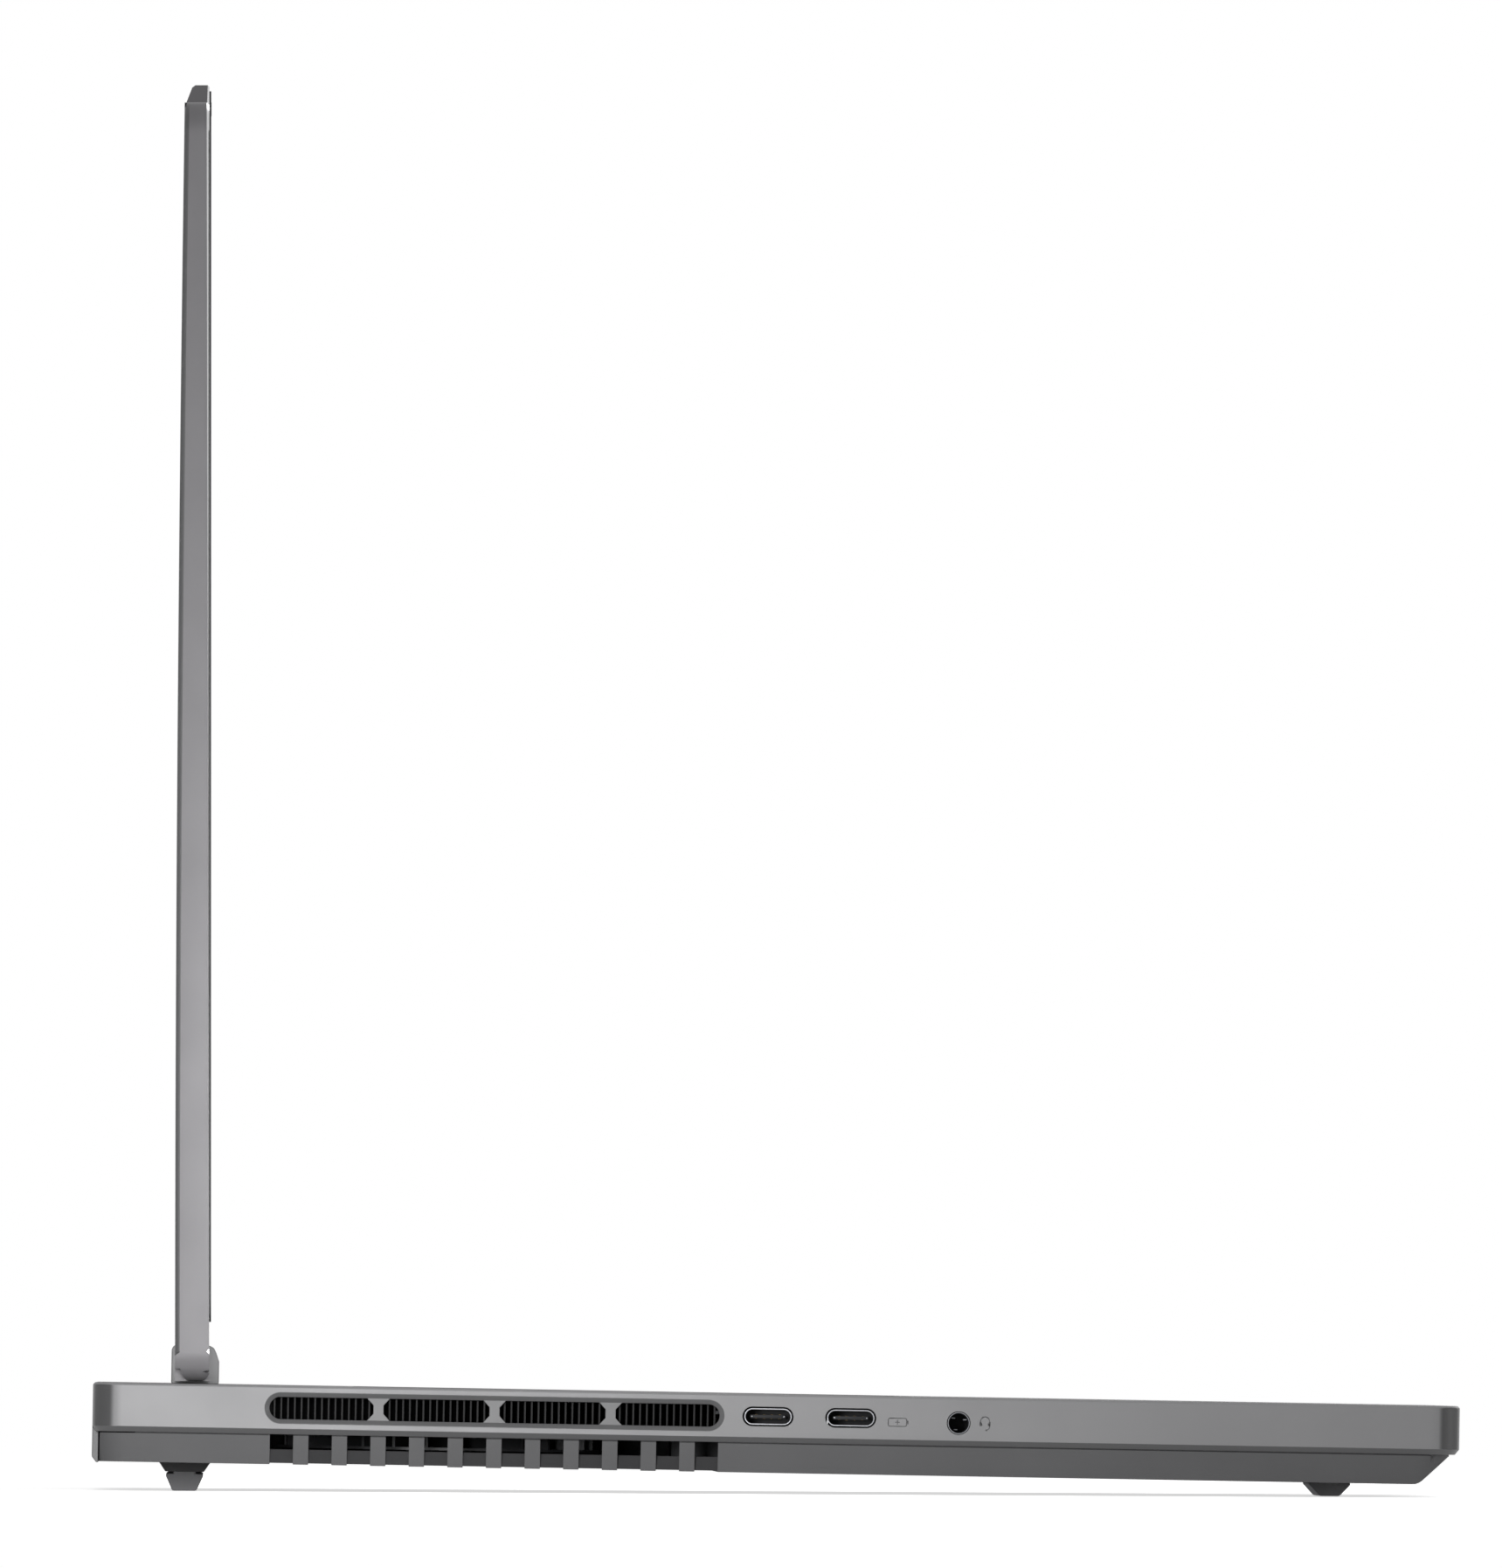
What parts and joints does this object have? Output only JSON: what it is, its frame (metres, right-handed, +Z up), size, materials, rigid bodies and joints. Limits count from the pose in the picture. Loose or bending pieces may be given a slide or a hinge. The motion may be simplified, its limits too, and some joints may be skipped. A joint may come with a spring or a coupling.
{
  "type": "notebook computer",
  "caption": "Notebook computer opened to a right angle: hinged lid with display and camera ledge, keyboard, touchpad, side vents and ports, and its working interior.",
  "frame": {"origin": "on the table, under the middle of the footprint", "axes": "+X is the user's right, -Y faces the user, +Y is the rear with the exhausts, +Z is up; the lid stands open at 91 degrees to the deck"},
  "size_m": [0.345, 0.2546, 0.2637],
  "materials": {
    "case_metal": "satin bead-blasted, grey",
    "cover_metal": "satin, dark grey",
    "dark_plastic": "fine matt texture",
    "foot_rubber": "matt",
    "black_steel": "black oxide",
    "circuit_board": "solder mask",
    "chip_silicon": "polished",
    "battery_wrap": "satin film",
    "inner_plastic": "moulded",
    "fin_aluminium": "dark anodised",
    "copper": "lacquered copper",
    "spring_steel": "rolled",
    "key_plastic": "soft matt",
    "touch_glass": "etched satin",
    "button_metal": "turned",
    "port_steel": "drawn",
    "display_glass": "glossy, dark",
    "bezel_plastic": "matt"
  },
  "bodies": {
    "base": {"top_case": "case_metal", "rear_trim": "dark_plastic", "side_vent_left": "cover_metal", "side_vent_right": "cover_metal", "bottom_cover": "cover_metal", "rear_foot": "foot_rubber", "front_foot": "foot_rubber", "bottom_screws": "black_steel", "motherboard": "circuit_board", "processor": "chip_silicon", "graphics_chip": "chip_silicon", "memory_modules": "circuit_board", "storage_drive": "circuit_board", "wireless_card": "circuit_board", "battery_pack": "battery_wrap", "speaker_left": "inner_plastic", "speaker_right": "inner_plastic", "heat_sink_left": "fin_aluminium", "heat_sink_right": "fin_aluminium", "heat_sink_rear_left": "fin_aluminium", "heat_sink_rear_right": "fin_aluminium", "heat_pipes": "copper", "cold_plate": "copper", "fan_housing_left": "inner_plastic", "fan_housing_right": "inner_plastic", "keyboard_frame": "inner_plastic", "keyboard_plate": "spring_steel", "touchpad_bracket": "spring_steel", "oval_port_left_rear": "port_steel", "oval_port_left_front": "port_steel", "headphone_jack": "dark_plastic", "flat_port_right": "port_steel", "flat_ports_rear": "port_steel", "oval_port_rear": "port_steel", "video_port": "port_steel", "power_inlet": "dark_plastic", "hinge_housing_left": "dark_plastic", "hinge_housing_right": "dark_plastic", "hinge_bracket_left": "spring_steel", "hinge_bracket_right": "spring_steel"},
    "lid": {"lid_cover": "case_metal", "lid_chin_strip": "dark_plastic", "display_panel": "display_glass", "lid_bezel": "bezel_plastic", "lid_gasket": "foot_rubber", "camera_module": "bezel_plastic", "hinge_arm_left": "spring_steel", "hinge_arm_right": "spring_steel"},
    "left_fan": {"fan_rotor_left": "inner_plastic"},
    "right_fan": {"fan_rotor_right": "inner_plastic"},
    "function_key_row": {"function_keys": "key_plastic"},
    "number_key_row": {"number_keys": "key_plastic"},
    "upper_key_row": {"upper_letter_keys": "key_plastic"},
    "middle_key_row": {"middle_letter_keys": "key_plastic"},
    "lower_key_row": {"lower_letter_keys": "key_plastic"},
    "modifier_key_row": {"modifier_keys": "key_plastic"},
    "space_key": {"space_bar": "key_plastic"},
    "touch_surface": {"touchpad": "touch_glass"},
    "power_key": {"power_button": "button_metal"},
    "shutter_knob": {"shutter_switch": "dark_plastic"}
  },
  "joints": [
    {"name": "lid_hinge", "type": "hinge", "parent": "base", "child": "lid", "pos_m": [0, 0.10812, 0.02298], "axis": [1, 0, 0], "range_deg": [-44, 91]},
    {"name": "function_keys_press", "type": "slide", "parent": "base", "child": "function_key_row", "axis": [0, 0.0122, -0.9999], "range_m": [0, 0.0015], "stiffness_N_per_m": 400, "springref_m": -0.0006},
    {"name": "number_keys_press", "type": "slide", "parent": "base", "child": "number_key_row", "axis": [0, 0.0122, -0.9999], "range_m": [0, 0.0015], "stiffness_N_per_m": 400, "springref_m": -0.0006},
    {"name": "upper_keys_press", "type": "slide", "parent": "base", "child": "upper_key_row", "axis": [0, 0.0122, -0.9999], "range_m": [0, 0.0015], "stiffness_N_per_m": 400, "springref_m": -0.0006},
    {"name": "middle_keys_press", "type": "slide", "parent": "base", "child": "middle_key_row", "axis": [0, 0.0122, -0.9999], "range_m": [0, 0.0015], "stiffness_N_per_m": 400, "springref_m": -0.0006},
    {"name": "lower_keys_press", "type": "slide", "parent": "base", "child": "lower_key_row", "axis": [0, 0.0122, -0.9999], "range_m": [0, 0.0015], "stiffness_N_per_m": 400, "springref_m": -0.0006},
    {"name": "modifier_keys_press", "type": "slide", "parent": "base", "child": "modifier_key_row", "axis": [0, 0.0122, -0.9999], "range_m": [0, 0.0015], "stiffness_N_per_m": 400, "springref_m": -0.0006},
    {"name": "space_bar_press", "type": "slide", "parent": "base", "child": "space_key", "axis": [0, 0.0122, -0.9999], "range_m": [0, 0.0015], "stiffness_N_per_m": 400, "springref_m": -0.0006},
    {"name": "touchpad_click", "type": "slide", "parent": "base", "child": "touch_surface", "axis": [0, 0.0122, -0.9999], "range_m": [0, 0.00035], "stiffness_N_per_m": 2500, "springref_m": -0.0004},
    {"name": "power_button_press", "type": "slide", "parent": "base", "child": "power_key", "axis": [0, 0.0122, -0.9999], "range_m": [0, 0.0004], "stiffness_N_per_m": 1500, "springref_m": -0.0003},
    {"name": "camera_shutter_slide", "type": "slide", "parent": "base", "child": "shutter_knob", "axis": [0, 0.9999, 0.0122], "range_m": [-0.0012, 0.0012]},
    {"name": "left_fan_spin", "type": "hinge", "parent": "base", "child": "left_fan", "pos_m": [-0.1225, 0.06252, 0.01042], "axis": [0, -0.0122, 0.9999], "continuous": true},
    {"name": "right_fan_spin", "type": "hinge", "parent": "base", "child": "right_fan", "pos_m": [0.1225, 0.06252, 0.01042], "axis": [0, -0.0122, 0.9999], "continuous": true}
  ]
}
